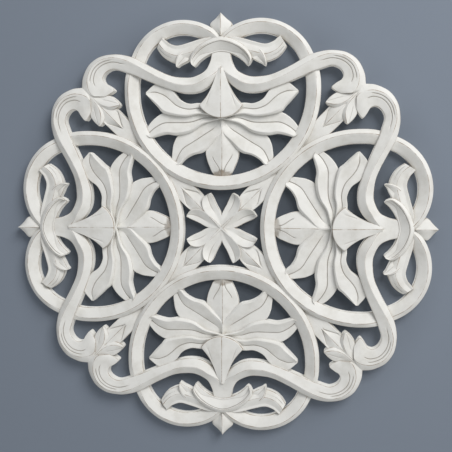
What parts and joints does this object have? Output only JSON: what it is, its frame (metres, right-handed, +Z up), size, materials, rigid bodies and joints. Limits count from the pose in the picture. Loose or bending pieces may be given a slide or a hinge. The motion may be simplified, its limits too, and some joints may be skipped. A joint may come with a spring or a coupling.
{
  "type": "carved wall panel",
  "caption": "Square openwork wall panel carved from a flat board: scrolled lotus motifs in rings around a centre flower, with a flat back to fix to a wall.",
  "frame": {"origin": "middle of the flat back, behind the centre flower, where the panel meets the wall", "axes": "+Y into the wall, out of the flat back; +Z up; +X to the viewer's right when facing the carving, which looks along -Y"},
  "size_m": [0.61, 0.022, 0.61],
  "materials": {
    "whitewashed_wood": "matte whitewash, rubbed through to brown wood on the ridges and edges"
  },
  "bodies": {
    "root": {"carved_panel": "whitewashed_wood"}
  },
  "joints": []
}
